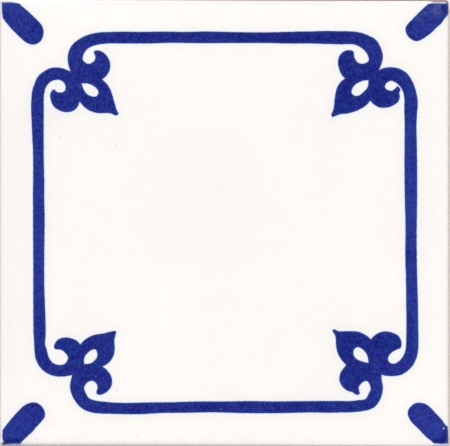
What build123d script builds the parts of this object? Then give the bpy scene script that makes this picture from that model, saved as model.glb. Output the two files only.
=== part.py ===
from build123d import *
import math
import os

# Square majolica wall tile: one fired piece, a pressed clay biscuit under a tin glaze.
# It lies face up, in millimetres. The origin is the middle of the bedding face.
# +X runs along the foot of the painted frame, +Y to its head, +Z out of the glazed face.

# Outer size, over the glaze
tile_width = 152.0  # along X
tile_length = 151.0  # along Y
tile_thickness = 8.0  # from the rib crests of the back to the glazed face
corner_radius = 1.3  # the four upright corners, seen in plan

# Glaze, which rolls over the arris of the face and ends in a hem part way down each side
arris_radius = 1.0  # roll between the face and the sides
glaze_drop = 3.0  # from the face down to the hem
glaze_coat = 0.25  # how far the glaze stands out from the bare clay
hem_radius = 0.15  # rounded lower edge of the glaze

# Clay below the hem
edge_draft = 2.0  # degrees that the sides lean in towards the back
back_arris = 0.5  # chamfer round the bedding face

# Keyed back: drafted pockets between flat ribs, which hold the adhesive
key_count = 6  # pockets along each side
key_rib = 4.0  # clay left between two pockets, at the bedding face
key_border = 10.0  # clay left between the outer pockets and the edge of the back
key_depth = 0.8
key_corner = 2.0  # pocket corners, seen in plan
key_draft = 25.0  # degrees that the pocket walls lean

# Worked out from the sizes above
hem_height = tile_thickness - glaze_drop
hem_width = tile_width - 2 * glaze_coat
hem_length = tile_length - 2 * glaze_coat
edge_lean = hem_height * math.tan(math.radians(edge_draft))
key_pitch_x = (hem_width - 2 * (edge_lean + key_border) + key_rib) / key_count
key_pitch_y = (hem_length - 2 * (edge_lean + key_border) + key_rib) / key_count


with BuildPart() as tile:
    # Pressed clay biscuit, widest at the glaze's hem and drawn in towards the back
    with BuildSketch():
        RectangleRounded(hem_width, hem_length, corner_radius)
    extrude(amount=hem_height)
    clay_sides = tile.faces() - tile.faces().filter_by(Plane.XY)
    draft(clay_sides, Plane.XY.offset(hem_height), -edge_draft)
    chamfer(tile.faces().sort_by(Axis.Z)[0].edges(), back_arris)

    # Glazed top of the tile, with its rolled arris
    with BuildSketch(Plane.XY.offset(hem_height)):
        RectangleRounded(tile_width, tile_length, corner_radius)
    extrude(amount=glaze_drop)
    fillet(tile.faces().sort_by(Axis.Z)[-1].edges(), arris_radius)

    # Hem of the glaze, a narrow ledge that overhangs the clay
    ledges = tile.faces().filter_by(Plane.XY).filter_by_position(Axis.Z, hem_height, hem_height)
    fillet(ledges[0].outer_wire().edges(), hem_radius)

    # Keying pockets, pressed up into the bedding face
    with BuildSketch():
        with GridLocations(key_pitch_x, key_pitch_y, key_count, key_count):
            RectangleRounded(key_pitch_x - key_rib, key_pitch_y - key_rib, key_corner)
    extrude(amount=key_depth, taper=key_draft, mode=Mode.SUBTRACT)

tile.part.label = "tile"

os.makedirs("parts", exist_ok=True)
export_step(tile.part, "parts/tile.step")
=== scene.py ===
import math

import bpy
import numpy as np
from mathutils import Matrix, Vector, kdtree, noise
from mathutils.geometry import delaunay_2d_cdt


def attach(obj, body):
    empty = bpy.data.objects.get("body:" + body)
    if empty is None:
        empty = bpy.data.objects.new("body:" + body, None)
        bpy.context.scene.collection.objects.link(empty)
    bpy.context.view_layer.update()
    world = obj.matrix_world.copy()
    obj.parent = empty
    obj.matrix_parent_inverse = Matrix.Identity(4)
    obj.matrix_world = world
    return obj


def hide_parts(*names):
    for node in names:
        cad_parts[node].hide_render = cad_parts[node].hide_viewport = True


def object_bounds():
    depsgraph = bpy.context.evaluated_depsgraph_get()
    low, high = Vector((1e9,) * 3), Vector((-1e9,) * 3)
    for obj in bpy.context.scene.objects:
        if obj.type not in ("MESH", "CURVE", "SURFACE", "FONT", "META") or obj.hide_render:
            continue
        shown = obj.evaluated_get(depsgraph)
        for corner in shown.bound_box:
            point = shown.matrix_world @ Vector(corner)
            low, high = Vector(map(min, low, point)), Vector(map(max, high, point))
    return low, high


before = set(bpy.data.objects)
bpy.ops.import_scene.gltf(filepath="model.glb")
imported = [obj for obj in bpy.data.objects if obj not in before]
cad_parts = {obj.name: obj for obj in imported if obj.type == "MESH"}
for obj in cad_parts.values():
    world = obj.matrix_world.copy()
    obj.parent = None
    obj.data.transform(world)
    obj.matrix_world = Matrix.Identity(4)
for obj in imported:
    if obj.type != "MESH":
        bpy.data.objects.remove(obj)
cadLow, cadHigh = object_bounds()
mm = 0.001  # metres

photo = {
    "width": 450,  # pixels
    "pixel": 152.33 / 450,  # what one pixel covers on the tile
    "tileMiddle": (224.28, 223.0),  # where the tile's middle lies in the picture
    "middle": (225.0, 223.0),  # the picture's own middle
}

tile = {
    "size": 1000 * (cadHigh - cadLow),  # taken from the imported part
    "cornerRadius": 1.3,
    # how far down the side the rolled arris reaches, and how far in on the face it starts: each at the left
    # and right end of the head and foot, and at the foot and head end of the two sides
    "rollDepth": {"head": (1.15, 1.15), "foot": (2.45, 0.55), "left": (1.6, 1.8), "right": (2.0, 1.8)},
    "rollWidth": {"head": (1.1, 1.1), "foot": (1.65, 1.65), "left": (1.15, 1.15), "right": (1.8, 1.8)},
    "hemHeight": 5.0,  # lower edge of the glaze
    "glazeCoat": 0.25,  # how far the glaze stands out from the clay
    "draft": 2.0,  # degrees
    "backArris": 0.5,
    "swell": 0.05,  # long soft waves of the glazed face, at their deepest
    "fall": (0.05, 5.0),  # how far the face falls away to its edges, and over what width
    "relief": 0.02,  # how far the painted strokes stand up
    # waves: length, height and seed
    "swellWaves": ((34, 0.42, 3.1), (9, 0.12, 7.7)),  # as shares of the swell
    "hemWaves": ((11, 0.28, 1.5), (3.5, 0.14, 4.5)),
    "beadWaves": ((6, 0.02, 9.5),),
    "clayWaves": ((1.7, 0.02, 2.5), (7, 0.03, 5.5)),
    "grainWaves": ((1.3, 0.02, 8.5),),
    "backWaves": ((2.3, 0.03, 6.5), (0.9, 0.02, 3.5)),
    # spacing of the mesh's points
    "outlineStep": 0.3,
    "strokeRows": ((0.12, 1), (0.34, 1), (0.75, 2)),  # rows beside an outline: how far off, every how many
    "rimInset": 0.06,  # the face's mesh ends here, and the rows of the sides begin
    "rimRows": (0.16, 0.3, 0.5, 0.75, 1.05, 1.45),  # rows inside the rim
    "grid": 1.25,  # between the outlines
    "jitter": 0.12,  # how far these points are pushed off their grid, as a share of its spacing
    "seed": 5,
    "backGrid": 2.4,
    "sideStep": 0.9,  # round the sides
}

# Painted outlines

# the outer and inner outline of the frame's four lines, between the sprigs
frameLines = {
    "outerHead": [(110, 32), (125, 31.7), (140, 31.9), (165, 31.6), (185, 32), (205, 31.5), (235, 32.1),
                  (265, 32.4), (290, 31.8), (310, 31.4), (330, 31.1), (340, 31.2)],
    "outerRight": [(416.8, 115), (416.4, 125), (416.8, 145), (417.1, 175), (417, 205), (416.6, 235),
                   (416.9, 265), (417.3, 285), (417.9, 305), (418.2, 330)],
    "outerFoot": [(340, 412.4), (330, 412.7), (310, 412.4), (280, 413.1), (245, 413.1), (215, 412.3),
                  (180, 412.8), (165, 412.9), (140, 414.1), (125, 414.1), (110, 413.7)],
    "outerLeft": [(33.5, 332), (33.3, 300), (33.3, 265), (33.1, 225), (33, 195), (33.2, 170), (33, 150),
                  (32.2, 135), (31.4, 115), (31.2, 105)],
    "innerHead": [(110, 43.4), (150, 43.4), (170, 42.8), (200, 43.1), (240, 43), (270, 43), (290, 43.5),
                  (310, 43.4), (325, 43.9), (341, 44.3)],
    "innerRight": [(404.3, 110), (404.7, 125), (404.5, 165), (404.8, 195), (405.6, 230), (405.3, 255),
                   (405.9, 275), (406.2, 300), (406.5, 325), (406.4, 334)],
    "innerFoot": [(340, 401), (325, 401), (300, 401.2), (275, 401.5), (250, 401.1), (230, 401.5),
                  (195, 401.6), (170, 402.3), (145, 402.5), (125, 403), (112, 402.5)],
    "innerLeft": [(45.6, 335), (45.6, 325), (45, 308), (44.3, 288), (44.1, 270), (44.3, 245), (44.6, 220),
                  (44.2, 200), (44.2, 180), (43.8, 160), (43.6, 135), (43.8, 110)],
}

# each stretch is one smooth curve, and two stretches meet in a corner
sprigs = {
    "headLeft": {
        "outer": [
            [(31.2, 105), (31.5, 97), (32.5, 90), (34.6, 83.8), (36.8, 78.5), (39.8, 74.5), (44.2, 71.3),
             (49, 68.7), (56, 67.5), (63.2, 68.5), (70.6, 71.6)],
            [(70.6, 71.6), (68.1, 63.1), (67.8, 57.5), (68.9, 51), (73.2, 43.9), (82, 37.5), (91, 34),
             (100, 32.4), (110, 32)],
        ],
        "inner": [
            [(110, 43.4), (100, 44.2), (95, 45.3), (88.2, 48.4), (83.7, 53.8), (83, 60.2), (88.4, 63.9),
             (94, 61.2), (95.4, 57), (94, 52), (95, 50.8)],
            [(95, 50.8), (98, 50.4), (103.5, 52.7), (107.9, 57.6), (110.2, 64), (109.2, 71), (106, 76),
             (102.3, 79.4)],
            [(102.3, 79.4), (107.6, 84.9), (111.3, 91.9), (114, 101), (116.7, 110), (118.5, 113.5)],
            [(118.5, 113.5), (117.2, 115.2), (115, 115.3), (111.8, 113.7), (106, 113), (98, 113),
             (89.7, 110.6), (84, 106.6), (79.5, 101.5)],
            [(79.5, 101.5), (78.3, 105.2), (75.4, 109.4), (68, 112.1), (60.8, 111), (53.9, 106.5),
             (50.6, 98.8), (50.5, 93.5), (52.4, 90)],
            [(52.4, 90), (54.3, 89.6), (56.4, 91.6), (61, 92.6), (64.4, 91.2), (65.7, 87.5), (64.4, 83.1),
             (60, 80), (54.9, 80), (49.8, 82.3), (45.6, 87.8), (44, 95), (43.7, 103), (43.8, 110)],
        ],
        "hole": [(81.5, 83.5), (86, 83.3), (92, 85), (97.3, 89.3), (98.5, 93), (96.3, 96.2), (92, 96.5),
                 (87, 94), (83.5, 89), (81.5, 83.5)],
    },
    "headRight": {
        "outer": [
            [(340, 31.2), (351, 31.4), (360.1, 32.6), (368, 35.3), (376, 40), (380.3, 47), (382.7, 54.5),
             (382.2, 61.3), (379, 70)],
            [(379, 70), (383.1, 68.3), (391, 67.3), (399.3, 68.8), (406.8, 73.4), (412.6, 81.9),
             (415.8, 90.9), (417.7, 101.5), (416.8, 115)],
        ],
        "inner": [
            [(404.3, 110), (404.3, 98), (403.1, 92), (399.8, 86.2), (394.8, 82), (391, 80.8), (386.5, 83),
             (384.8, 87), (387.2, 89.6), (391, 90.9), (395.9, 88), (397.4, 85.9)],
            [(397.4, 85.9), (400.3, 89.4), (399.2, 93), (399.7, 96), (398.3, 101.4), (393.3, 105.3),
             (387.1, 107.5), (379.8, 107.5), (374, 104.4), (370, 100.5)],
            [(370, 100.5), (367.2, 104.4), (362, 108.1), (355.3, 111.2), (348, 113.4), (341, 114.1),
             (337.1, 115.1), (332.5, 117.2)],
            [(332.5, 117.2), (331.4, 114.5), (333.3, 110), (334.3, 103), (335.3, 95), (337, 88), (339.9, 83),
             (344.9, 78.4)],
            [(344.9, 78.4), (341.8, 75), (339.2, 69), (338, 62), (339.5, 56), (343.1, 52), (347, 50.4),
             (351.5, 50.4)],
            [(351.5, 50.4), (353.4, 51.6), (354.2, 57), (357.1, 62), (362, 63.8), (367.8, 61.8), (368.9, 59),
             (366.3, 52.6), (360.7, 47.4), (355, 44.7), (351, 44.1), (341, 44.3)],
        ],
        "hole": [(368.6, 80), (367.6, 87.3), (363.7, 91.7), (359, 95.5), (355.1, 95.8), (351.5, 93),
                 (352.2, 89.1), (355.7, 84.2), (361.9, 81.1), (368.6, 80)],
    },
    "footRight": {
        "outer": [
            [(418.2, 330), (418.4, 340), (418.1, 350), (416.3, 358), (413.2, 364.6), (408.2, 370.3),
             (400.9, 374.8), (393, 376.1), (385, 375.6), (381.5, 374.5)],
            [(381.5, 374.5), (381.6, 380), (382.8, 386), (382.1, 394), (379.2, 401.1), (373.7, 407.6),
             (365.2, 410.6), (350, 412.3), (340, 412.4)],
        ],
        "inner": [
            [(340, 401), (350, 401.1), (358, 400.2), (365.3, 399.1), (368.3, 394.6), (370.6, 389),
             (369.8, 384.6), (367, 381.1), (364, 381.5), (359.2, 386), (358.8, 389.5), (359.7, 393.5),
             (358.5, 394.7)],
            [(358.5, 394.7), (356, 394.6), (353, 392.5), (346.8, 390.3), (342, 386), (339.5, 380),
             (340.3, 373.5), (343, 369), (346.2, 365.2)],
            [(346.2, 365.2), (343.9, 362.6), (340.4, 358.2), (337.2, 351.3), (336, 344), (335.6, 337),
             (334, 333.3), (332.3, 330.7)],
            [(332.3, 330.7), (334, 329.3), (337.5, 331), (341, 331.4), (351, 331.2), (359, 332),
             (365.6, 335.1), (371, 339.3)],
            [(371, 339.3), (374, 336), (379.2, 332.8), (385, 331.4), (391, 332.3), (398, 335.6),
             (400.9, 340)],
            [(400.9, 340), (401.5, 344), (400.5, 347.9), (397, 349.4), (391.6, 352.6), (388.7, 356.1),
             (387.9, 359.5), (389.9, 362.7), (394, 363.8), (398, 362), (402, 358), (405, 352), (406, 345),
             (406.4, 334)],
        ],
        "hole": [(368.5, 363), (362.2, 361.5), (356.5, 359), (353.5, 354.5), (353.8, 350.1), (357.1, 347.2),
                 (361.9, 348.7), (366, 353), (368, 358), (368.5, 363)],
    },
    "footLeft": {
        "outer": [
            [(110, 413.7), (100, 413.5), (88.3, 411.5), (80.8, 407.5), (76, 402.1), (72, 395), (70.1, 387.5),
             (70.8, 381), (72.2, 375)],
            [(72.2, 375), (65, 376.3), (56, 376.3), (48, 373.7), (41.3, 368.6), (36, 359.6), (34.7, 352.2),
             (34, 340), (33.5, 332)],
        ],
        "inner": [
            [(45.6, 335), (45.1, 345), (46.6, 349.3), (48.6, 356.9), (52.7, 362.8), (59, 365), (64, 364.3),
             (66.9, 361.4), (68, 357.5), (66.1, 353.8), (62.3, 350.4), (59, 349.4), (55.5, 349.3)],
            [(55.5, 349.3), (54, 347), (55.5, 342.6), (59.3, 338.9), (66, 337.5), (72, 338.5), (77, 341),
             (80.2, 344.3)],
            [(80.2, 344.3), (84, 340.5), (87.8, 337.8), (94, 335), (103, 333.5), (110, 331.8),
             (114.5, 330.9)],
            [(114.5, 330.9), (116.2, 331.7), (115.4, 335), (114.3, 341), (114.7, 349), (113.3, 356),
             (110.2, 361.1), (106, 364.7), (102.2, 366.5)],
            [(102.2, 366.5), (104.6, 368.1), (108.7, 372.2), (111.6, 378), (111.8, 384), (109.3, 389.2),
             (105, 393), (100, 394.8), (97, 394)],
            [(97, 394), (96.5, 391.5), (97.6, 388), (97, 384.7), (94.2, 381.6), (91, 380.8), (86.3, 383.4),
             (84.1, 387.5), (85.3, 392), (88.4, 397.6), (94, 400.3), (101, 401.4), (112, 402.5)],
        ],
        "hole": [(84, 364.1), (84.4, 357.6), (87.7, 352.7), (93.1, 349.4), (95.4, 349.6), (97.4, 353.1),
                 (96.7, 357.9), (93, 362), (89, 363.7), (84, 364.1)],
    },
}

# a point past the tile's edge lets the paint lap over the arris there
dashes = {
    "headLeft": [
        [(2.05, 2), (8, 1.9), (13.5, 2.2), (16.5, 3), (19.2, 3.8)],
        [(19.2, 3.8), (28.1, 11.5), (38, 21), (41.4, 25), (43.5, 31), (42.2, 38.5), (37.8, 43.3), (32, 44.5),
         (28.2, 43.5), (23.1, 40.1), (11.1, 28.3), (6.7, 23.1), (2.9, 18.1)],
        [(2.9, 18.1), (2, 10), (2.05, 2)],
    ],
    "headRight": [
        [(450.5, 4), (428.6, 3.9)],
        [(428.6, 3.9), (423.3, 8.5), (417.5, 14), (412.3, 19.5), (407.6, 24.4), (405.7, 28), (406.3, 33.1),
         (409.7, 38), (415.5, 41), (420, 40.2), (425, 37.4), (429.1, 34.4), (432.7, 31.5), (435.8, 28.2),
         (441.3, 23.3), (444.3, 18.8), (446.6, 16.3), (448.6, 13.2), (450.5, 10.5)],
        [(450.5, 10.5), (450.5, 4)],
    ],
    "footRight": [
        [(447.5, 426.9), (444.8, 424.2), (441.5, 419.5), (435.2, 412.8), (430.1, 407.3), (424.4, 403.7),
         (417.3, 402.9), (413, 404.6), (409.2, 408.6), (408.1, 411), (408.2, 415.7), (410.1, 419.9),
         (413, 423.5), (418.4, 428.8), (425.6, 436.3), (431.5, 441.1), (434, 443.3)],
        [(434, 443.3), (438, 443.4), (442, 443.8), (449, 443)],
        [(449, 443), (448.7, 440.5), (448.3, 437), (448, 431), (447.5, 426.9)],
    ],
    "footLeft": [
        [(19.8, 443.7), (27.3, 436.3), (32.4, 431.8), (35.1, 428.3), (41.8, 421), (44.5, 417), (44.9, 413.2),
         (43.4, 408.7), (38, 403.5), (33, 402.5), (28, 403.6), (23.9, 405.8), (14.8, 414.9), (7.7, 423.4),
         (2.7, 430)],
        [(2.7, 430), (2.4, 436), (2.7, 439.5), (3, 440.5), (4.2, 441.4), (3.3, 442.3), (2.6, 443.2),
         (2.7, 444.6)],
        [(2.7, 444.6), (6, 444.2), (10, 443.8), (16, 443.6), (19.8, 443.7)],
    ],
}

# a light cobalt tint on the rolled arris beyond a dash, and how strong it is
laps = [
    ([(430.8, 3.4), (432.2, 0.9), (452, 0.9), (452, 6), (431, 6), (430.8, 3.4)], 0.66),
    ([(1.6, 442), (1.4, 450), (21.5, 450), (20.6, 442), (1.6, 442)], 0.42),
    ([(434, 442), (434.5, 450), (452, 450), (452, 442), (434, 442)], 0.22),
]

# where the cobalt lies thicker and darker (above 0) or thinner (below 0), and painted shade where the paint
# runs onto the right arris:
# place, half width and half height, amount
poolsAndArrisShade = [
    ((38.5, 225), (14, 150), -0.27), ((411, 225), (14, 150), -0.35), ((411, 210), (14, 22), -0.16),
    ((411, 256), (14, 9), 0.34), ((409, 240), (8, 9), -0.20), ((418.5, 332), (6, 30), -0.62),
    ((391, 68), (9, 5), -0.35), ((382, 382), (6, 8), -0.35), ((382.5, 58), (5, 9), -0.25),
    ((40, 39), (7, 7), -0.25), ((346, 112), (9, 5), 0.20), ((382, 103), (10, 6), 0.22),
    ((391, 342), (10, 9), 0.25), ((373, 346), (8, 9), 0.20), ((355, 32), (9, 4), -0.20),
    ((111, 94), (6, 10), -0.20), ((94, 400), (8, 4), 0.20), ((22, 31), (8, 8), 0.20),
    ((355, 90), (52, 48), 0.18), ((300, 37), (80, 10), 0.26), ((150, 37), (90, 10), 0.18),
    ((225, 407), (160, 10), 0.10), ((355, 345), (34, 20), 0.18), ((15, 15), (26, 26), -0.30),
    ((430, 18), (30, 26), -0.28), ((430, 425), (30, 30), -0.46), ((25, 425), (30, 28), -0.22),
    ((11, 442.6), (14, 1.9), 1.30), ((447.6, 434), (4.2, 14), 1.80), ((441.5, 440.9), (14, 1.8), 1.10),
    ((433, 434), (12, 9), -0.15), ((447.5, 7), (4, 8), 0.90), ((438, 4), (12, 4), 0.30),
    ((76, 40), (8, 7), 0.20), ((112, 112), (12, 5), 0.15), ((40, 184), (12, 18), 0.15),
    ((8, 436), (10, 8), -0.15), ((378, 392), (12, 20), -0.30),
]

# painted light and shade over the white
plainPaintedShade = 0.1  # how grey the white is all over
# painted shade (above 0) and painted light (below 0) where light falls unevenly across the face, with some
# of the glaze's own uneven tone; the strip at the head arris damps its highlight
paintedShadeAndToneSpots = [
    ((8, 225), (26, 235), 0.24), ((35, 165), (60, 130), 0.12), ((45, 105), (30, 35), 0.10),
    ((440, 225), (24, 200), 0.07), ((405, 210), (45, 60), 0.10), ((225, 223), (215, 210), 0.05),
    ((205, 200), (75, 100), 0.10), ((210, 165), (70, 50), 0.10), ((345, 100), (75, 75), 0.10),
    ((105, 110), (70, 60), 0.08), ((110, 345), (60, 60), 0.08), ((150, 330), (75, 100), -0.14),
    ((300, 360), (30, 30), -0.10), ((345, 345), (70, 60), 0.08), ((150, 15), (140, 16), -0.16),
    ((120, 436), (110, 14), -0.20), ((360, 436), (70, 14), -0.14), ((225, 2.2), (250, 2.9), 0.72),
    ((420, 400), (40, 30), -0.14),
]

# where a stroke is hazy and greyer
casts = [((436, 9), (11, 7), 0.8), ((434, 14.5), (8, 6), 0.8), ((419, 17), (7, 6), 0.5)]

# faint grey flecks in the white: place, half width, strength
flecks = [
    ((227.2, 395.7), 1.2, 0.60), ((138, 435.5), 1.2, 0.60), ((116, 144.5), 1.2, 0.55),
    ((322, 95), 1.2, 0.45), ((60, 137), 1.2, 0.45), ((328.9, 99.7), 1.1, 0.40), ((312.9, 75.7), 1.1, 0.40),
    ((117.7, 391.1), 1.2, 0.50), ((397, 109.5), 1.1, 0.40), ((62, 36.7), 1.2, 0.45),
    ((50.4, 112.3), 1.1, 0.35), ((371, 110.8), 1.1, 0.35), ((50.1, 159.6), 1.1, 0.30),
    ((25, 110), 1.1, 0.30), ((23, 268), 1.1, 0.30), ((324.8, 67.9), 1.2, 0.40), ((99.5, 119), 1.1, 0.30),
    ((376.7, 302.3), 1.1, 0.30), ((61.9, 52.4), 1.1, 0.30), ((425.2, 267.1), 1.1, 0.25),
    ((424.4, 339.7), 1.1, 0.25), ((107, 48.5), 1.0, 0.90), ((10, 325), 1.3, 0.50),
    ((433, 210.6), 1.1, 0.35), ((393, 243), 1.1, 0.30), ((155.7, 441), 0.9, 0.60),
    ((155.7, 442.6), 0.9, 0.60),
]

# pale pinholes in the paint
pinholes = [
    ((443.7, 428.5), 1.5, 1.0), ((434.8, 13), 1.5, 0.2), ((440, 7), 1.3, 0.25), ((424.5, 12.5), 1.1, 0.2),
    ((75.6, 67.3), 1.0, 0.3), ((80, 87), 1.0, 0.25), ((95.6, 376.4), 1.0, 0.3), ((220.8, 408.7), 1.0, 0.3),
]


def toTile(points):
    picture = np.asarray(points, float)
    return (picture - photo["tileMiddle"]) * (photo["pixel"], -photo["pixel"])


def curve(points, step):
    # a smooth curve through the points, from the first to the last
    way = np.asarray(points, float)
    if len(way) == 2:
        count = max(2, math.ceil(np.linalg.norm(way[1] - way[0]) / step) + 1)
        return way[0] + np.linspace(0, 1, count)[:, None] * (way[1] - way[0])
    way = np.vstack([2 * way[0] - way[1], way, 2 * way[-1] - way[-2]])
    made = []
    for a, b, c, d in zip(way, way[1:], way[2:], way[3:]):
        knots = np.cumsum([0] + [np.linalg.norm(v) ** 0.5 for v in (b - a, c - b, d - c)])
        count = max(1, round(np.linalg.norm(c - b) / step))
        t = np.linspace(knots[1], knots[2], count, endpoint=False)[:, None]

        def between(low, high, first, second):
            return ((knots[high] - t) * first + (t - knots[low]) * second) / (knots[high] - knots[low])

        ab, bc, cd = between(0, 1, a, b), between(1, 2, b, c), between(2, 3, c, d)
        made.append(between(1, 2, between(0, 2, ab, bc), between(1, 3, bc, cd)))
    return np.vstack(made + [way[-2:-1]])


def outline(stretches):
    return np.vstack([curve(toTile(s), tile["outlineStep"])[:-1] for s in stretches])


def turned(stretches):
    return [s[::-1] for s in stretches[::-1]]


def facing(loop, paintInside):
    # runs a loop anticlockwise where the paint is inside it, so that the paint is always on its left
    x, y = loop.T
    area = np.sum(x * np.roll(y, -1) - y * np.roll(x, -1))
    return loop if (area > 0) == paintInside else loop[::-1]


def paintedLoops():
    # the frame runs clockwise from its head, with a sprig after each of its four lines
    outer, inner = [], []
    runs = (("Head", "headRight"), ("Right", "footRight"), ("Foot", "footLeft"), ("Left", "headLeft"))
    for line, sprig in runs:
        outer += [frameLines["outer" + line], *sprigs[sprig]["outer"]]
        inner += [frameLines["inner" + line], *turned(sprigs[sprig]["inner"])]
    made = [facing(outline(outer), True), facing(outline(inner), False)]
    made += [facing(outline([sprig["hole"]]), False) for sprig in sprigs.values()]
    made += [facing(outline(dash), True) for dash in dashes.values()]
    return made


def lapLoop(corners):
    sides = zip(corners, corners[1:])
    return facing(np.vstack([curve(toTile(side), tile["outlineStep"])[:-1] for side in sides]), True)


def loopSides(closed):
    # for each point of the closed loops: its neighbours on both sides
    before = np.vstack([np.roll(loop, 1, 0) for loop in closed])
    after = np.vstack([np.roll(loop, -1, 0) for loop in closed])
    return np.vstack(closed), before, after


def unit(vectors):
    return vectors / np.maximum(np.linalg.norm(vectors, axis=1, keepdims=True), 1e-12)


def outward(along):
    return np.stack([along[:, 1], -along[:, 0]], 1)


def treeOf(points):
    tree = kdtree.KDTree(len(points))
    for i, (x, y) in enumerate(points):
        tree.insert((x, y, 0), i)
    tree.balance()
    return tree


def signedDistance(places, closed):
    # distance to the nearest outline, below 0 inside the paint
    points, before, after = loopSides(closed)
    tree = treeOf(points)
    nearest = np.array([tree.find((x, y, 0))[1] for x, y in places])
    here = points[nearest]
    best = np.full(len(places), np.inf)
    sign = np.ones(len(places))
    for first, second in ((before[nearest], here), (here, after[nearest])):
        along = second - first
        share = np.einsum("ij,ij->i", places - first, along) / np.einsum("ij,ij->i", along, along)
        off = places - (first + np.clip(share, 0, 1)[:, None] * along)
        length = np.linalg.norm(off, axis=1)
        side = np.einsum("ij,ij->i", off, outward(unit(along)))
        closer = length < best - 1e-9
        best = np.where(closer, length, best)
        sign = np.where(closer, np.where(side < 0, -1, 1), sign)
    # at a bend the two neighbouring lines decide together
    both = unit(outward(unit(here - before[nearest])) + outward(unit(after[nearest] - here)))
    atBend = np.abs(np.linalg.norm(places - here, axis=1) - best) < 1e-9
    bendSign = np.where(np.einsum("ij,ij->i", places - here, both) < 0, -1, 1)
    return best * np.where(atBend, bendSign, sign)


loops = paintedLoops()
lapLoops = [lapLoop(corners) for corners, strength in laps]
print("painted outlines:", len(loops), "loops,", sum(map(len, loops)), "points")

# Shape of the glazed face

half = np.array([tile["size"].x, tile["size"].y]) / 2
top = tile["size"].z
corner = tile["cornerRadius"]
quarters = np.array(((1, 1), (-1, 1), (-1, -1), (1, -1)))  # the corners, anticlockwise from the head right


def roundedInset(over, radius):
    # how far in from a rounded outline, where over is how far past the middles of its corners
    return radius - np.where(over.min(1) > 0, np.linalg.norm(np.maximum(over, 0), axis=1), over.max(1))


def insetOf(places):
    # how far a place lies in from the tile's outline, seen in plan
    return roundedInset(np.abs(places) - (half - corner), corner)


def bySide(places, sizes):
    # a size that differs between and along the four edges, blended round the corners
    share = 0.5 + places / (2 * half)

    def along(name, axis):
        first, last = sizes[name]
        return first + (last - first) * share[:, axis]

    reach = np.maximum(np.abs(places) - (half - corner) + 0.8, 0) ** 2
    ends = np.where(places[:, 1] > 0, along("head", 0), along("foot", 0))
    sides = np.where(places[:, 0] > 0, along("right", 1), along("left", 1))
    return (reach[:, 0] * sides + reach[:, 1] * ends) / np.maximum(reach.sum(1), 1e-9)


def rollDrop(places, inset):
    share = np.clip(1 - inset / np.maximum(bySide(places, tile["rollWidth"]), 0.1), 0, 1)
    return bySide(places, tile["rollDepth"]) * (1 - np.sqrt(1 - share**2))


def smoothstep(low, high, value):
    t = np.clip((value - low) / (high - low), 0, 1)
    return t * t * (3 - 2 * t)


def wave(places, size, seed):
    return np.array([noise.noise((x / size, y / size, seed)) for x, y in places])


def swells(places, layers):
    return sum(height * wave(places, size, seed) for size, height, seed in layers)


def pits(places, layers):
    return sum(height * np.abs(wave(places, size, seed)) for size, height, seed in layers)


def faceHeight(places, paintEdge):
    inset = insetOf(places)
    swell = np.clip(0.5 + swells(places, tile["swellWaves"]), 0, 1)
    fall, fallWidth = tile["fall"]
    low = tile["swell"] * swell + fall * (1 - smoothstep(0, fallWidth, inset))
    low += tile["relief"] * smoothstep(-0.3, 0.12, paintEdge)
    low -= low.min()
    return top - rollDrop(places, inset) - low * smoothstep(0.05, 1.2, inset)


def perimeter():
    # the points round the tile, anticlockwise: each has a place on the lines between the middles of the
    # corner arcs, and its direction outward
    starts, outwards = [], []
    for quarter, (here, ahead) in enumerate(zip(quarters, np.roll(quarters, -1, 0))):
        here, ahead = here * (half - corner), ahead * (half - corner)
        for angle in np.linspace(quarter * math.pi / 2, (quarter + 1) * math.pi / 2, 7):
            starts.append(here)
            outwards.append((math.cos(angle), math.sin(angle)))
        steps = round(np.linalg.norm(ahead - here) / tile["sideStep"])
        for k in range(1, steps):
            starts.append(here + (ahead - here) * k / steps)
            outwards.append(outwards[-1])
    return np.array(starts), np.array(outwards)


anchors, directions = perimeter()
count = len(anchors)


def ringAt(inset):
    return anchors + directions * (corner - np.asarray(inset).reshape(-1, 1))


def triangulate(groups, lines):
    # lines, closed or open, stay edges; points of the later groups keep clear of the earlier ones
    fixed, edges = np.vstack([line for line, closed in lines]), []
    start = 0
    for line, closed in lines:
        last = len(line) if closed else len(line) - 1
        edges += [(start + i, start + (i + 1) % len(line)) for i in range(last)]
        start += len(line)
    for group, clear in groups:
        tree = treeOf(fixed)
        free = [p for p in group if tree.find((p[0], p[1], 0))[2] > clear]
        if free:
            fixed = np.vstack([fixed, free])
    vertices, _, triangles, sources, _, _ = delaunay_2d_cdt([Vector(p) for p in fixed], edges, [], 1, 1e-6)
    made = np.array([tuple(v) for v in vertices])
    faces = np.array([f[:] for f in triangles])
    a, b, c = made[faces[:, 0]], made[faces[:, 1]], made[faces[:, 2]]
    cross = (b[:, 0] - a[:, 0]) * (c[:, 1] - a[:, 1]) - (b[:, 1] - a[:, 1]) * (c[:, 0] - a[:, 0])
    faces[cross < 0] = faces[cross < 0][:, ::-1]
    # where the points of the first line, the rim, went
    where = {source: i for i, merged in enumerate(sources) for source in merged}
    return made, faces[np.abs(cross) > 1e-7], [where[i] for i in range(len(lines[0][0]))]


def insideRuns(loop, inside):
    # the stretches of a closed loop that lie inside the face
    if inside.all():
        return [(loop, True)]
    start = int(np.flatnonzero(~inside)[0])
    loop, inside = np.roll(loop, -start, 0), np.roll(inside, -start)
    runs = np.split(loop, np.flatnonzero(np.diff(inside)) + 1)
    return [(run, False) for run in runs[1::2] if len(run) > 2]


def spokes(place, wide):
    # a point in the middle of a small mark, and two rings of points round it
    middle, reach = toTile([place])[0], wide * photo["pixel"]
    angles = np.linspace(0, 2 * math.pi, 9)[:-1]
    ways = reach * np.stack([np.cos(angles), np.sin(angles)], 1)
    return np.vstack([middle, middle + 0.5 * ways, middle + ways])


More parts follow.
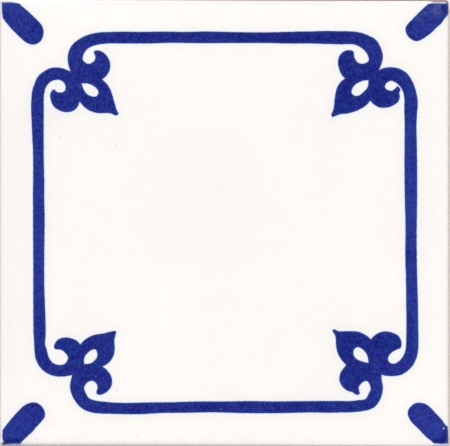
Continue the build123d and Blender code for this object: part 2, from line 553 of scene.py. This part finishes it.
def facePoints():
    rimInset = tile["rimInset"]
    lines = [(ringAt(rimInset), True)]
    for loop in loops:
        lines += insideRuns(loop, insetOf(loop) > rimInset + 0.08)
    points, before, after = loopSides(loops)
    normal = unit(outward(after - before))
    groups = []
    for offset, every in tile["strokeRows"]:
        both = np.vstack([points + normal * offset, points - normal * offset])[::every]
        keep = (np.abs(signedDistance(both, loops)) > 0.85 * offset) & (insetOf(both) > rimInset + 0.1)
        groups.append((both[keep], 0.55 * min(offset, 0.25)))
    arcEnd = corner - 0.02
    for inset in tile["rimRows"]:
        # past the middles of the corner arcs a row goes on straight in
        groups.append((ringAt(min(inset, arcEnd)) - directions * max(inset - arcEnd, 0), 0.1))
    for place, wide, strength in flecks + pinholes:
        groups.append((spokes(place, wide), 0.05))
    rng = np.random.default_rng(tile["seed"])
    side = tile["grid"]
    columns = np.arange(-half[0] + 2, half[0] - 2 + 1e-6, side)
    lanes = np.arange(-half[1] + 2, half[1] - 2 + 1e-6, side * 0.87)
    grid = np.array([(x + side / 2 * (j % 2), y) for j, y in enumerate(lanes) for x in columns])
    grid += rng.uniform(-tile["jitter"], tile["jitter"], grid.shape) * side
    groups.append((grid[insetOf(grid) > 1.9], 0.5 * side))
    return groups, lines


facePlaces, faceTriangles, faceRim = triangulate(*facePoints())
faceZ = faceHeight(facePlaces, signedDistance(facePlaces, loops))
print("glazed face:", len(facePlaces), "points,", len(faceTriangles), "triangles")

# Sides: rows of points from the face's rim down to the back


def sideRows():
    # each row's inset, its height, and how far down the side it has run
    rim = ringAt(tile["rimInset"])
    shoulder = top - bySide(ringAt(0.3), tile["rollDepth"]) - 0.1  # just below the rolled arris
    hem = tile["hemHeight"] + swells(rim, tile["hemWaves"])
    bead = 0.02 + swells(rim, tile["beadWaves"])
    glaze = [
        (0.02, top - rollDrop(ringAt(0.3), 0.02), 0.2),
        (0.0, top - rollDrop(ringAt(0.3), 0.0), 0.5),
        (0.3 * bead, shoulder, 0.9),
        (bead, 0.5 * shoulder + 0.5 * (hem + 0.38), 1.4),
        (0.7 * bead, hem + 0.38, 1.9),
        (0.0, hem + 0.24, 2.1),
        (0.03, hem + 0.1, 2.3),
        (0.1, hem + 0.015, 2.5),
        (0.19, hem, 2.7),
        (tile["glazeCoat"], hem + 0.04, 2.9),
    ]
    lean = math.tan(math.radians(tile["draft"]))
    bevel = tile["backArris"]
    rough = pits(rim, tile["clayWaves"])
    clay = []
    for share in (0.97, 0.85, 0.7, 0.55, 0.4, 0.27, 0.17):
        height = bevel + (hem - bevel) * share
        inset = tile["glazeCoat"] + (tile["hemHeight"] - height) * lean + rough
        clay.append((inset + pits(rim + 40 * share, tile["grainWaves"]), height, 7.6 - 4.6 * share))
    low = tile["glazeCoat"] + tile["hemHeight"] * lean
    clay += [
        (low + rough, bevel + 0.06, 7.5),
        (low + 0.06 + rough, bevel - 0.1, 7.7),
        (low + bevel / 2 + rough, bevel / 2, 7.9),
        (low + bevel - 0.06 + rough, 0.05, 8.2),
        (low + bevel + 0.04, 0.0, 8.35),
    ]
    return glaze + clay, len(glaze)


rows, glazedRows = sideRows()

# Back: flat ribs between drafted pockets

key = {
    "count": 6,
    "rib": 4.0,
    "border": 10.0,
    "depth": 0.8,
    "corner": 2.0,
    "draft": 25.0,  # degrees
    "rings": (-0.35, -0.06, 0.1, 0.24, 0.38, 0.5, 0.8),  # insets of the rings of points at a pocket's wall
}
backLean = tile["hemHeight"] * math.tan(math.radians(tile["draft"]))
keyPitch = (2 * (half - tile["glazeCoat"]) - 2 * (backLean + key["border"]) + key["rib"]) / key["count"]
keyCore = (keyPitch - key["rib"]) / 2 - key["corner"]  # the middles of a pocket's corner arcs
keyReach = (key["count"] - 1) / 2  # pitches from the tile's middle to the outer pockets


def backHeight(places):
    # every place is measured from its own pocket's middle
    cell = np.clip(np.round(places / keyPitch + keyReach), 0, key["count"] - 1) - keyReach
    inset = roundedInset(np.abs(places - cell * keyPitch) - keyCore, key["corner"])
    wall = key["depth"] * math.tan(math.radians(key["draft"]))
    clay = pits(places, tile["backWaves"]) * smoothstep(0.2, 1.5, insetOf(places) - 0.9)
    return key["depth"] * smoothstep(-0.06, wall + 0.08, inset) + clay


def pocketRing(inset):
    radius = key["corner"] - inset
    arcs = []
    for number, quarter in enumerate(quarters):
        angles = np.linspace(number * math.pi / 2, (number + 1) * math.pi / 2, 5)
        arcs.append(quarter * keyCore + radius * np.stack([np.cos(angles), np.sin(angles)], 1))
    ring = []
    for arc, following in zip(arcs, arcs[1:] + arcs[:1]):
        ring += [*arc, *(arc[-1] + (following[0] - arc[-1]) * k / 6 for k in range(1, 6))]
    return np.array(ring)


def backPoints():
    lines = [(ringAt(rows[-1][0]), True)]
    # the bake map's cuts run along ribs
    for side in (-1, 1):
        for axis in (0, 1):
            reach = half[1 - axis] - 1.5
            line = np.zeros((61, 2))
            line[:, axis] = side * keyPitch[axis]
            line[:, 1 - axis] = np.linspace(-reach, reach, 61)
            lines.append((line, False))
    steps = np.arange(key["count"]) - keyReach
    middles = [np.array((i, j)) * keyPitch for i in steps for j in steps]
    groups = [(np.vstack([pocketRing(inset) + m for m in middles]), 0.05) for inset in key["rings"]]
    step = tile["backGrid"]
    columns, lanes = (np.arange(-reach, reach + 1e-6, step) for reach in half - 2)
    grid = np.array([(x + step / 2 * (j % 2), y) for j, y in enumerate(lanes) for x in columns])
    groups.append((grid[insetOf(grid) > 2.4], 0.9))
    return groups, lines


backPlaces, backTriangles, backRim = triangulate(*backPoints())
backZ = backHeight(backPlaces)
print("back:", len(backPlaces), "points,", len(backTriangles), "triangles")

# One closed mesh, and its map for baking, with the sides folded out round the face and the back in nine
# squares below and beside them

bakeMap = {
    "margin": 0.004,
    "face": 0.832,  # the face's square
    "backSquare": 0.154,
    "backStep": 0.1655,  # from one square of the back to the next
    "backColumn": 0.842,  # where their column at the right starts
}


def buildTile():
    points = [np.column_stack([facePlaces, faceZ])]
    faces = [tuple(f) for f in faceTriangles]
    margin, faceSquare = bakeMap["margin"], bakeMap["face"]
    scale = faceSquare / (2 * (half.max() - tile["rimInset"] + rows[-1][2]))
    middle = np.array((margin + faceSquare / 2, 1 - margin - faceSquare / 2))
    uvs = [tuple(middle + scale * facePlaces[i]) for f in faces for i in f]
    materials = [0] * len(faces)
    # the sides hang from the rim of the face, row below row
    rim = ringAt(tile["rimInset"])
    upper, upperUv = faceRim, middle + scale * rim
    made = len(facePlaces)
    for number, (inset, height, run) in enumerate(rows):
        lowerUv = middle + scale * (rim + directions * run)
        if number < len(rows) - 1:
            points.append(np.column_stack([ringAt(inset), np.broadcast_to(height, count)]))
            lower = range(made, made + count)
            made += count
        else:
            lower = [made + i for i in backRim]
        for i in range(count):
            j = (i + 1) % count
            faces.append((upper[i], lower[i], lower[j], upper[j]))
            uvs += [tuple(upperUv[i]), tuple(lowerUv[i]), tuple(lowerUv[j]), tuple(upperUv[j])]
            materials.append(0 if number < glazedRows else 1)
        upper, upperUv = lower, lowerUv
    # the back
    points.append(np.column_stack([backPlaces, backZ]))
    square, step = bakeMap["backSquare"], bakeMap["backStep"]
    squares = [(bakeMap["backColumn"], margin + step * k) for k in range(6)]
    squares += [(margin + step * k, margin) for k in range(3)]
    reach = half - 0.9
    for f in backTriangles[:, ::-1]:
        centre = backPlaces[f].mean(0)
        cell = np.where(centre < -keyPitch, 0, np.where(centre > keyPitch, 2, 1))
        low = np.where(cell == 0, -reach, np.where(cell == 1, -keyPitch, keyPitch))
        place = np.array(squares[cell[0] * 3 + cell[1]])
        faces.append(tuple(made + i for i in f))
        uvs += [tuple(place + square * (backPlaces[i] - low) / (reach - keyPitch).max()) for i in f]
        materials.append(1)
    points = np.vstack(points)
    mesh = bpy.data.meshes.new("paintedTile")
    mesh.from_pydata((points * mm).tolist(), [], faces)
    mesh.update()
    mesh.polygons.foreach_set("material_index", materials)
    mesh.polygons.foreach_set("use_smooth", [True] * len(faces))
    layer = mesh.uv_layers.new(name="OFBake")
    layer.data.foreach_set("uv", np.array(uvs, np.float32).ravel())
    return mesh, points


# Paint and glaze, as values on the mesh's points

arris = {
    "paintDepth": 1.6,  # the paint fades out from here down the sides
    # the glaze is painted greyer on the arris of the two sides, as shade: by how much, and how wide
    "arrisShade": 0.9,
    "arrisShadeWidth": 1.2,
    # it broke thin along the head arris, where the clay shows through, and that band is painted darker than
    # the clay as shade of the arris
    "thinLeft": 0.06,  # how much at the left end
    "thinRises": ((-60, 30, 0.81), (10, 60, 0.13)),  # and how much more from one place along X to another
    "thinWidth": (0.2, 0.54),  # it fades out between these, in from the edge
    "thinDepth": (1.0, 1.5),  # and between these, down from the face
}


def addValues(mesh, name, values):
    mesh.attributes.new(name, "FLOAT", "POINT").data.foreach_set("value", np.asarray(values, np.float32))


def soft(plan, middle, reach):
    # 1 in the middle of a rounded box, fading out to 0 at its edge
    away = np.abs(plan - toTile([middle])[0]) / (np.array(reach) * photo["pixel"])
    return 1 - smoothstep(0.35, 1.0, np.linalg.norm(away**2, axis=1) ** 0.5)


def spread(plan, spots):
    return sum(amount * soft(plan, middle, reach) for middle, reach, amount in spots)


def dots(plan, spots, core):
    # small round marks, each at full strength within its core
    marks = np.zeros(len(plan))
    for middle, wide, strength in spots:
        away = np.linalg.norm(plan - toTile([middle])[0], axis=1) / (wide * photo["pixel"])
        marks = np.maximum(marks, strength * (1 - smoothstep(core, 1.0, away)))
    return marks


def paintValues(mesh, points):
    plan, depth = points[:, :2], top - points[:, 2]
    down = np.maximum(depth - arris["paintDepth"], 0)
    addValues(mesh, "paintEdge", np.clip(signedDistance(plan, loops) + 2 * down, -6, 6))
    # pools of cobalt, and painted shade on the right arris
    addValues(mesh, "paintToneAndShade", spread(plan, poolsAndArrisShade))
    addValues(mesh, "paintCast", spread(plan, casts))
    lap = np.zeros(len(plan))
    for loop, (corners, strength) in zip(lapLoops, laps):
        lap = np.maximum(lap, strength * (1 - smoothstep(-0.1, 0.25, signedDistance(plan, [loop]))))
    addValues(mesh, "paintLap", lap * (1 - smoothstep(0.2, 0.8, down)))
    addValues(mesh, "fleck", dots(plan, flecks, 0.2) * (depth < 1))
    addValues(mesh, "pinhole", dots(plan, pinholes, 0.1) * (depth < 1))
    # painted shade on the arris of the two sides
    arrisShade = arris["arrisShade"] * (1 - smoothstep(0, arris["arrisShadeWidth"], half[0] - np.abs(plan[:, 0]))) ** 2
    # painted light and shade over the white, with some of the glaze's own tone
    addValues(mesh, "paintedShadeAndTone", np.maximum(plainPaintedShade + spread(plan, paintedShadeAndToneSpots) + arrisShade, 0))
    rises = [rise * smoothstep(*ends, plan[:, 0]) for *ends, rise in arris["thinRises"]]
    thinAndShade = arris["thinLeft"] + sum(rises)
    thinAndShade *= 1 - smoothstep(*arris["thinWidth"], insetOf(plan))
    thinAndShade *= 1 - smoothstep(*arris["thinDepth"], depth)
    addValues(mesh, "thinGlazeAndShade", thinAndShade * (plan[:, 1] > half[1] - 2))


tileMesh, tilePoints = buildTile()
paintValues(tileMesh, tilePoints)
paintedTile = bpy.data.objects.new("paintedTile", tileMesh)
bpy.context.scene.collection.objects.link(paintedTile)
triangles = sum(len(face.vertices) - 2 for face in tileMesh.polygons)
print("tile mesh:", len(tilePoints), "points,", triangles, "triangles")

# Materials: colours are screen colours, 0 to 255, and clouds are layers of mottle: size, amount and seed

glazeLook = {
    "white": (254.3, 248.4, 244.9),
    "whitePale": (255, 251.8, 249),
    "whiteTone": 0.5,  # 0 is white and 1 is whitePale
    "whiteClouds": ((26.0, 1.3, 3.0), (5.0, 1.2, 5.0), (0.8, 1.6, 7.0)),
    # colour of the painted shade on the white
    "paintedShade": (241, 236, 233),
    # colour of the white beside a stroke, where cobalt bled into it, by the distance from the stroke
    "bleed": ((0.05, (196, 208, 255)), (0.25, (225, 233, 255)), (0.45, (243.2, 246.5, 255)),
              (0.68, (247.5, 248.4, 252.8)), (0.9, (245.8, 244, 242.6)), (1.2, (248.8, 246.6, 243)),
              (1.7, (250.5, 247, 244)), (2.5, (251.7, 248, 245.2)), (4.0, (253.5, 249.5, 246.5))),
    "cobaltDeep": (7, 20, 113),
    "cobaltPale": (45, 62, 155),
    "cobaltTone": 0.375,  # 0 is cobaltDeep and 1 is cobaltPale
    "cobaltClouds": ((0.42, 4.2, 13.0), (1.1, 1.9, 17.0), (3.2, 0.9, 19.0), (11.0, 0.7, 23.0)),
    "violet": (46, 38, 142),
    "teal": (28, 58, 140),
    "hueClouds": ((1.1, 1.0, 61.0), (2.3, 1.6, 63.0), (7.0, 0.9, 67.0)),  # violet above 0, teal below
    "edge": (-0.045, 0.09),  # the paint fades out between these distances from its outline
    "edgeClouds": ((0.9, 0.21, 11.0), (2.5, 0.06, 12.0)),
    "rimDark": (-0.75, -0.25, 0.14),  # it is darker at its rim, from the first distance to the second
    "cobaltRim": (48, 62, 123),
    "rimGrey": (-0.85, -0.4, 0.42),  # and turns to cobaltRim there
    "haze": (70, 79, 141),
    "hazeTone": 0.55,
    "hazeClouds": ((0.9, 2.6, 71.0), (2.4, 1.6, 73.0)),
    "fleck": (196, 186, 176),
    "pinhole": (172, 182, 255),
    # the clay through thin glaze, darkened as painted shade of the head arris
    "thinAndShade": (116, 80, 74),
    "roughness": 0.1,
    "roughPaint": 0.04,  # added where it is painted
    "roughThin": 0.45,  # and where the glaze is thin
    "roughClouds": ((4.0, 0.06, 29.0),),
    "skinClouds": ((1.6, 0.6, 31.0), (0.6, 0.25, 37.0)),
    "skin": (0.12, 0.00002),  # strength, and depth in metres
}
clayLook = {
    "clay": (203, 150, 122),
    "clayPale": (219, 178, 152),
    "tone": 0.45,  # 0 is clay and 1 is clayPale
    "clouds": ((14.0, 1.6, 41.0), (2.4, 1.2, 43.0), (0.5, 0.8, 47.0)),
    "pore": (142, 92, 70),
    "poreScale": 0.7,
    "poreSize": (0.04, 0.16),
    "poreShare": 0.75,
    "poreDepth": 0.6,
    "poreClouds": ((5.0, 0.9, 53.0),),
    "grainClouds": ((0.5, 1.0, 59.0),),
    "grain": (0.5, 0.0001),  # strength, and depth in metres
    "roughness": 0.9,
    "specular": 0.25,
}


def linear(screen):
    # a screen colour as the shader's linear colour
    shares = [value / 255 for value in screen]
    return [v / 12.92 if v <= 0.04045 else ((v + 0.055) / 1.055) ** 2.4 for v in shares] + [1.0]


def add(tree, kind, **values):
    node = tree.nodes.new(kind)
    for name, value in values.items():
        setattr(node, name, value)
    return node


def feed(tree, socket, value):
    if isinstance(value, bpy.types.NodeSocket):
        tree.links.new(value, socket)
    elif value is not None:
        socket.default_value = value


def calc(tree, operation, a, b=None, clamp=False):
    node = add(tree, "ShaderNodeMath", operation=operation, use_clamp=clamp)
    feed(tree, node.inputs[0], a)
    feed(tree, node.inputs[1], b)
    return node.outputs[0]


def total(tree, first, *others):
    for other in others:
        first = calc(tree, "ADD", first, other)
    return first


def ease(tree, value, low, high, toLow=0.0, toHigh=1.0):
    node = add(tree, "ShaderNodeMapRange", interpolation_type="SMOOTHSTEP")
    for socket, v in zip(node.inputs, (value, low, high, toLow, toHigh)):
        feed(tree, socket, v)
    return node.outputs["Result"]


def blendColour(tree, factor, a, b, kind="MIX"):
    # a and b are sockets or screen colours
    node = add(tree, "ShaderNodeMix", data_type="RGBA", blend_type=kind)
    feed(tree, node.inputs[0], factor)
    for socket, colour in ((node.inputs[6], a), (node.inputs[7], b)):
        feed(tree, socket, linear(colour) if isinstance(colour, tuple) else colour)
    return node.outputs[2]


def attribute(tree, name):
    return add(tree, "ShaderNodeAttribute", attribute_name=name).outputs["Fac"]


def bumped(tree, height, strength, depth):
    bump = add(tree, "ShaderNodeBump")
    bump.inputs["Strength"].default_value = strength
    bump.inputs["Distance"].default_value = depth
    feed(tree, bump.inputs["Height"], height)
    return bump.outputs[0]


def firedMottleGroup():
    # soft uneven tone, as a number about 0, for a coordinate in millimetres
    group = bpy.data.node_groups.new("firedMottle", "ShaderNodeTree")
    socket = group.interface.new_socket
    socket(name="Place", in_out="INPUT", socket_type="NodeSocketVector")
    for name, value in (("Size", 2.0), ("Amount", 0.1), ("Seed", 0.0)):
        socket(name=name, in_out="INPUT", socket_type="NodeSocketFloat").default_value = value
    socket(name="Tone", in_out="OUTPUT", socket_type="NodeSocketFloat")
    inside, outside = add(group, "NodeGroupInput"), add(group, "NodeGroupOutput")
    shift = add(group, "ShaderNodeCombineXYZ")
    for axis in "XYZ":
        feed(group, shift.inputs[axis], inside.outputs["Seed"])
    place = add(group, "ShaderNodeVectorMath", operation="ADD")
    feed(group, place.inputs[0], inside.outputs["Place"])
    feed(group, place.inputs[1], shift.outputs[0])
    cloud = add(group, "ShaderNodeTexNoise")
    feed(group, cloud.inputs["Vector"], place.outputs[0])
    feed(group, cloud.inputs["Scale"], calc(group, "DIVIDE", 1.0, inside.outputs["Size"]))
    cloud.inputs["Detail"].default_value = 1.5
    centred = calc(group, "SUBTRACT", cloud.outputs["Fac"], 0.5)
    feed(group, outside.inputs["Tone"], calc(group, "MULTIPLY", centred, inside.outputs["Amount"]))
    return group


firedMottle = firedMottleGroup()


def clouds(tree, place, layers):
    tones = []
    for size, amount, seed in layers:
        node = add(tree, "ShaderNodeGroup", node_tree=firedMottle)
        feed(tree, node.inputs["Place"], place)
        for name, value in (("Size", size), ("Amount", amount), ("Seed", seed)):
            node.inputs[name].default_value = value
        tones.append(node.outputs["Tone"])
    return total(tree, *tones)


def newMaterial(name):
    material = bpy.data.materials.new(name)
    material.use_nodes = True
    return material, material.node_tree, material.node_tree.nodes["Principled BSDF"]


def placeNode(tree):
    # the place on the object, in millimetres
    coordinate = add(tree, "ShaderNodeTexCoord")
    scaled = add(tree, "ShaderNodeVectorMath", operation="SCALE")
    feed(tree, scaled.inputs[0], coordinate.outputs["Object"])
    scaled.inputs["Scale"].default_value = 1000.0
    return scaled.outputs[0]


def whiteColour(tree, place, edge):
    tone = total(tree, clouds(tree, place, glazeLook["whiteClouds"]), glazeLook["whiteTone"])
    white = blendColour(tree, tone, glazeLook["white"], glazeLook["whitePale"])
    # painted shade and light over the white, with some of the glaze's own tone
    white = blendColour(tree, attribute(tree, "paintedShadeAndTone"), white, glazeLook["paintedShade"])
    reach, farColour = glazeLook["bleed"][-1]
    far = linear(farColour)
    ramp = add(tree, "ShaderNodeValToRGB")
    stops = ramp.color_ramp.elements
    while len(stops) < len(glazeLook["bleed"]):
        stops.new(0.5)
    for stop, (distance, colour) in zip(stops, glazeLook["bleed"]):
        stop.position = distance / reach
        stop.color = [near / plain for near, plain in zip(linear(colour), far)]
    feed(tree, ramp.inputs[0], calc(tree, "DIVIDE", edge, reach))
    tinted = blendColour(tree, 1.0, white, ramp.outputs[0], "MULTIPLY")
    return blendColour(tree, attribute(tree, "fleck"), tinted, glazeLook["fleck"])


def cobaltColour(tree, place, edge):
    *rim, amount = glazeLook["rimDark"]
    # darker where the cobalt pools, and at the right arris as painted shade
    tone = total(tree, clouds(tree, place, glazeLook["cobaltClouds"]), glazeLook["cobaltTone"],
                 calc(tree, "MULTIPLY", attribute(tree, "paintToneAndShade"), -1.0),
                 calc(tree, "MULTIPLY", ease(tree, edge, *rim), -amount))
    cobalt = blendColour(tree, tone, glazeLook["cobaltDeep"], glazeLook["cobaltPale"])
    hue = clouds(tree, place, glazeLook["hueClouds"])
    cobalt = blendColour(tree, hue, cobalt, glazeLook["violet"])
    cobalt = blendColour(tree, calc(tree, "MULTIPLY", hue, -1.0), cobalt, glazeLook["teal"])
    *rim, amount = glazeLook["rimGrey"]
    rimShare = calc(tree, "MULTIPLY", ease(tree, edge, *rim), amount)
    cobalt = blendColour(tree, rimShare, cobalt, glazeLook["cobaltRim"])
    patchy = total(tree, clouds(tree, place, glazeLook["hazeClouds"]), glazeLook["hazeTone"])
    cast = calc(tree, "MULTIPLY", attribute(tree, "paintCast"), patchy, clamp=True)
    return blendColour(tree, cast, cobalt, glazeLook["haze"])


def tinGlaze():
    material, tree, shader = newMaterial("tinGlaze")
    place = placeNode(tree)
    edge = total(tree, attribute(tree, "paintEdge"), clouds(tree, place, glazeLook["edgeClouds"]))
    paint = ease(tree, edge, *glazeLook["edge"], 1.0, 0.0)
    thinAndShade = attribute(tree, "thinGlazeAndShade")
    cobalt = cobaltColour(tree, place, edge)
    lapped = blendColour(tree, attribute(tree, "paintLap"), whiteColour(tree, place, edge), cobalt)
    holed = blendColour(tree, attribute(tree, "pinhole"), cobalt, glazeLook["pinhole"])
    painted = blendColour(tree, paint, lapped, holed)
    # the thin glaze on the head arris, darker than the clay as painted shade
    feed(tree, shader.inputs["Base Color"], blendColour(tree, thinAndShade, painted, glazeLook["thinAndShade"]))
    rough = total(tree, clouds(tree, place, glazeLook["roughClouds"]), glazeLook["roughness"],
                  calc(tree, "MULTIPLY", paint, glazeLook["roughPaint"]),
                  calc(tree, "MULTIPLY", thinAndShade, glazeLook["roughThin"]))
    feed(tree, shader.inputs["Roughness"], rough)
    skin = bumped(tree, clouds(tree, place, glazeLook["skinClouds"]), *glazeLook["skin"])
    feed(tree, shader.inputs["Normal"], skin)
    return material


def bareClay():
    material, tree, shader = newMaterial("bareClay")
    place = placeNode(tree)
    tone = total(tree, clouds(tree, place, clayLook["clouds"]), clayLook["tone"])
    body = blendColour(tree, tone, clayLook["clay"], clayLook["clayPale"])
    spots = add(tree, "ShaderNodeTexVoronoi")
    feed(tree, spots.inputs["Vector"], place)
    spots.inputs["Scale"].default_value = clayLook["poreScale"]
    away = total(tree, spots.outputs["Distance"], clouds(tree, place, clayLook["poreClouds"]))
    pore = ease(tree, away, *clayLook["poreSize"], 1.0, 0.0)
    poreShare = calc(tree, "MULTIPLY", pore, clayLook["poreShare"])
    feed(tree, shader.inputs["Base Color"], blendColour(tree, poreShare, body, clayLook["pore"]))
    shader.inputs["Roughness"].default_value = clayLook["roughness"]
    shader.inputs["Specular IOR Level"].default_value = clayLook["specular"]
    height = total(tree, clouds(tree, place, clayLook["grainClouds"]),
                   calc(tree, "MULTIPLY", pore, -clayLook["poreDepth"]))
    feed(tree, shader.inputs["Normal"], bumped(tree, height, *clayLook["grain"]))
    return material


tileMesh.materials.append(tinGlaze())
tileMesh.materials.append(bareClay())
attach(paintedTile, "root")
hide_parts("tile")
print("materials: done")

# Floor, light and camera: lengths here are metres

studio = {
    "floorColour": (0.8, 0.79, 0.77),
    "floorRoughness": 0.7,
    "floorSize": 6.0,
    "floorDrop": 0.00002,  # a hair below the tile
    "keyPlace": (0.0, 4.4, 8.8),  # a long soft lamp beyond the head of the tile
    "keySize": (9.0, 4.0),
    "keyPower": 903.0,  # watts
    # how light the sky is, from 0 at the horizon and below it to 1 straight up
    "sky": ((0.0, 0.72), (0.08, 0.72), (0.3, 0.36), (0.84, 0.36), (0.96, 0.08)),
    "lens": 600.0,  # millimetres, long, because the photograph is as flat as a scan
    "sensor": 36.0,  # millimetres
}


def makeFloor():
    mesh = bpy.data.meshes.new("floor")
    reach, low = studio["floorSize"] / 2, -studio["floorDrop"]
    mesh.from_pydata([(x * reach, y * reach, low) for x, y in quarters], [], [(0, 1, 2, 3)])
    floor = bpy.data.objects.new("floor", mesh)
    bpy.context.scene.collection.objects.link(floor)
    material, tree, shader = newMaterial("paleFloor")
    shader.inputs["Base Color"].default_value = (*studio["floorColour"], 1.0)
    shader.inputs["Roughness"].default_value = studio["floorRoughness"]
    mesh.materials.append(material)


def makeWorld():
    world = bpy.data.worlds.new("studioWorld")
    bpy.context.scene.world = world
    world.use_nodes = True
    tree = world.node_tree
    coordinate = add(tree, "ShaderNodeTexCoord")
    split = add(tree, "ShaderNodeSeparateXYZ")
    feed(tree, split.inputs[0], coordinate.outputs["Generated"])
    ramp = add(tree, "ShaderNodeValToRGB")
    stops = ramp.color_ramp.elements
    while len(stops) < len(studio["sky"]):
        stops.new(0.5)
    for stop, (height, level) in zip(stops, studio["sky"]):
        stop.position = height
        stop.color = (level, level, level, 1.0)
    feed(tree, ramp.inputs[0], split.outputs["Z"])
    feed(tree, tree.nodes["Background"].inputs["Color"], ramp.outputs[0])


def makeLamp():
    data = bpy.data.lights.new("keyLamp", "AREA")
    data.shape = "RECTANGLE"
    data.size, data.size_y = studio["keySize"]
    data.energy = studio["keyPower"]
    lamp = bpy.data.objects.new("keyLamp", data)
    bpy.context.scene.collection.objects.link(lamp)
    lamp.location = studio["keyPlace"]
    lamp.rotation_mode = "QUATERNION"
    lamp.rotation_quaternion = (-Vector(studio["keyPlace"])).to_track_quat("-Z", "Y")


def makeCamera():
    data = bpy.data.cameras.new("camera")
    data.lens = studio["lens"]
    data.sensor_width = studio["sensor"]
    camera = bpy.data.objects.new("camera", data)
    bpy.context.scene.collection.objects.link(camera)
    away = photo["width"] * photo["pixel"] * data.lens / data.sensor_width
    camera.location = Vector((*toTile([photo["middle"]])[0], top + away)) * mm
    data.clip_start = 0.01
    data.clip_end = 50.0
    bpy.context.scene.camera = camera


makeFloor()
makeWorld()
makeLamp()
makeCamera()
bpy.context.scene.view_settings.view_transform = "Standard"

print("scene: done")
